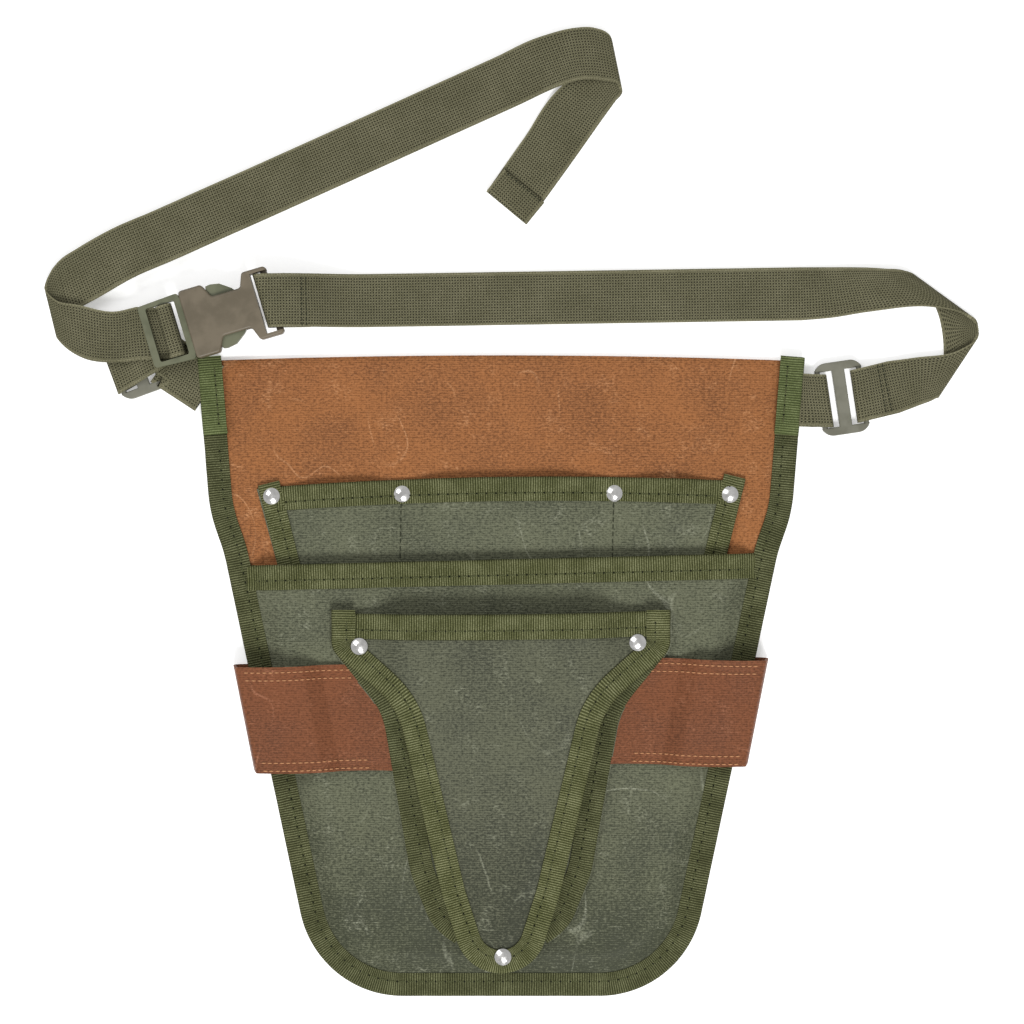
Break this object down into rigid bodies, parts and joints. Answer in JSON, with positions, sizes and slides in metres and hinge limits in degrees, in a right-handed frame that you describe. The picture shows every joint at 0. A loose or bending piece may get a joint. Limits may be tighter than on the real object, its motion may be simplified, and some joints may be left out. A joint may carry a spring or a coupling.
{
  "type": "garden tool bag",
  "caption": "Flat waxed-canvas tool bag for a waist belt, with tape-bound pockets, a V-shaped pruner holster, side tool loops, rivets and a webbing belt closed by a side-release buckle",
  "frame": {"origin": "under the middle of the whole laid-out outline, on the surface that the bag lies on", "axes": "+Y up the bag towards its belt, +X across the bag to the right as seen from the front, +Z out of its front, away from the surface"},
  "size_m": [0.447, 0.4605, 0.0238],
  "materials": {
    "rust_canvas": "waxed cotton canvas, rust brown, scuffed",
    "loop_canvas": "waxed cotton canvas, darker rust brown",
    "green_canvas": "waxed cotton canvas, grey green, scuffed",
    "tape": "ribbed grosgrain tape, olive green",
    "webbing": "woven 25 mm webbing, olive drab",
    "buckle_plastic": "moulded acetal, dull olive brown",
    "slide_plastic": "moulded plastic, dull grey green",
    "nickel": "polished nickel plate"
  },
  "bodies": {
    "bag": {"back_panel": "rust_canvas", "left_tool_loop": "loop_canvas", "right_tool_loop": "loop_canvas", "lower_pocket_panel": "green_canvas", "upper_pocket_panel": "green_canvas", "holster_front_panel": "green_canvas", "holster_left_gusset": "green_canvas", "holster_right_gusset": "green_canvas", "perimeter_binding": "tape", "upper_left_binding": "tape", "upper_right_binding": "tape", "lower_pocket_top_binding": "tape", "upper_pocket_top_binding": "tape", "upper_pocket_left_binding": "tape", "upper_pocket_right_binding": "tape", "holster_v_binding": "tape", "holster_top_binding": "tape", "holster_left_outer_binding": "tape", "holster_right_outer_binding": "tape", "left_tab": "webbing", "right_tab": "webbing", "right_strap": "webbing", "left_strap_leg": "webbing", "left_strap_tail": "webbing", "left_slide": "slide_plastic", "rivet_caps": "nickel", "rivet_shanks": "nickel"},
    "buckle": {"buckle_socket": "buckle_plastic", "buckle_clip": "buckle_plastic", "left_strap_wrap": "webbing"},
    "upper_prong": {"upper_prong": "buckle_plastic"},
    "lower_prong": {"lower_prong": "buckle_plastic"},
    "right_slide": {"right_slide": "slide_plastic", "right_strap_end": "webbing"}
  },
  "joints": [
    {"name": "buckle_lift", "type": "hinge", "parent": "bag", "child": "buckle", "pos_m": [-0.11494, 0.10061, 0.0115], "axis": [-0.2857, 0.9583, 0], "range_deg": [0, 25]},
    {"name": "upper_prong_squeeze", "type": "hinge", "parent": "buckle", "child": "upper_prong", "pos_m": [-0.15458, 0.09881, 0.0115], "axis": [0, 0, -1], "range_deg": [0, 7], "stiffness_Nm_per_rad": 0.5},
    {"name": "lower_prong_squeeze", "type": "hinge", "parent": "buckle", "child": "lower_prong", "pos_m": [-0.14909, 0.08041, 0.0115], "axis": [0, 0, 1], "range_deg": [0, 7], "stiffness_Nm_per_rad": 0.5},
    {"name": "right_slide_tilt", "type": "hinge", "parent": "bag", "child": "right_slide", "pos_m": [0.14731, 0.05324, 0.00305], "axis": [0.1461, -0.9893, 0], "range_deg": [0, 30]}
  ]
}
